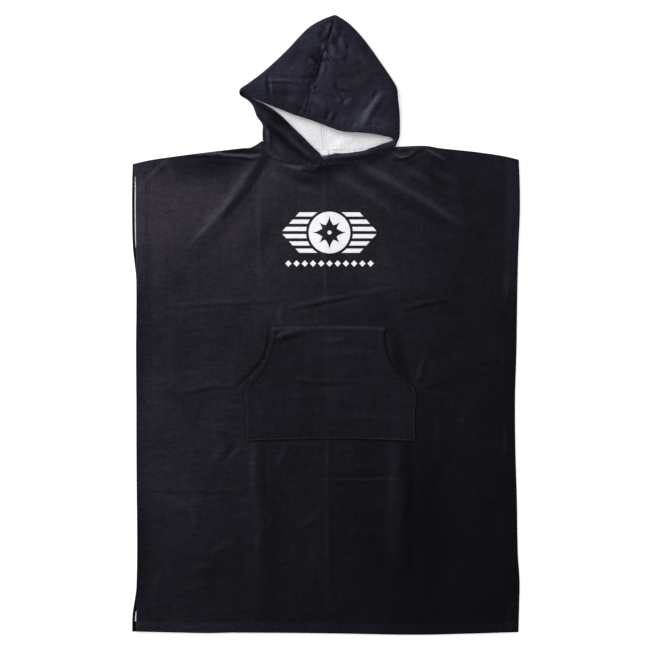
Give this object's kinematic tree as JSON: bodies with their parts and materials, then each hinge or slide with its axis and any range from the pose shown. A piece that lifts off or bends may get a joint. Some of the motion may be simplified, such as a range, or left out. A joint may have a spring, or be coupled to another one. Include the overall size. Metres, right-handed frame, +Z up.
{
  "type": "hooded bath poncho",
  "caption": "Hooded towelling poncho laid flat with its front up, with a pouch pocket, open armholes and a soft folded hood.",
  "frame": {"origin": "on the surface that the poncho lies on, under the middle of its outline", "axes": "+Y from the bottom hem towards the hood, +X across the body to the right in a view of the front, +Z up out of the front"},
  "size_m": [0.8022, 1.2824, 0.0278],
  "materials": {
    "velour_body": "cut-pile cotton velour, almost black with a violet cast, matt with a soft sheen",
    "velour_hood": "cut-pile cotton velour, dark navy, matt with a soft sheen, looped white terry on the inner side",
    "terry_back": "looped white cotton terry on the inner side, dark velour on the outer side, matt",
    "label": "plain white woven tape, smooth"
  },
  "bodies": {
    "root": {"back_panel": "terry_back", "front_panel": "velour_body", "kangaroo_pocket": "velour_body", "hood_left": "velour_hood", "hood_right": "velour_hood", "neck_label": "label"}
  },
  "joints": []
}
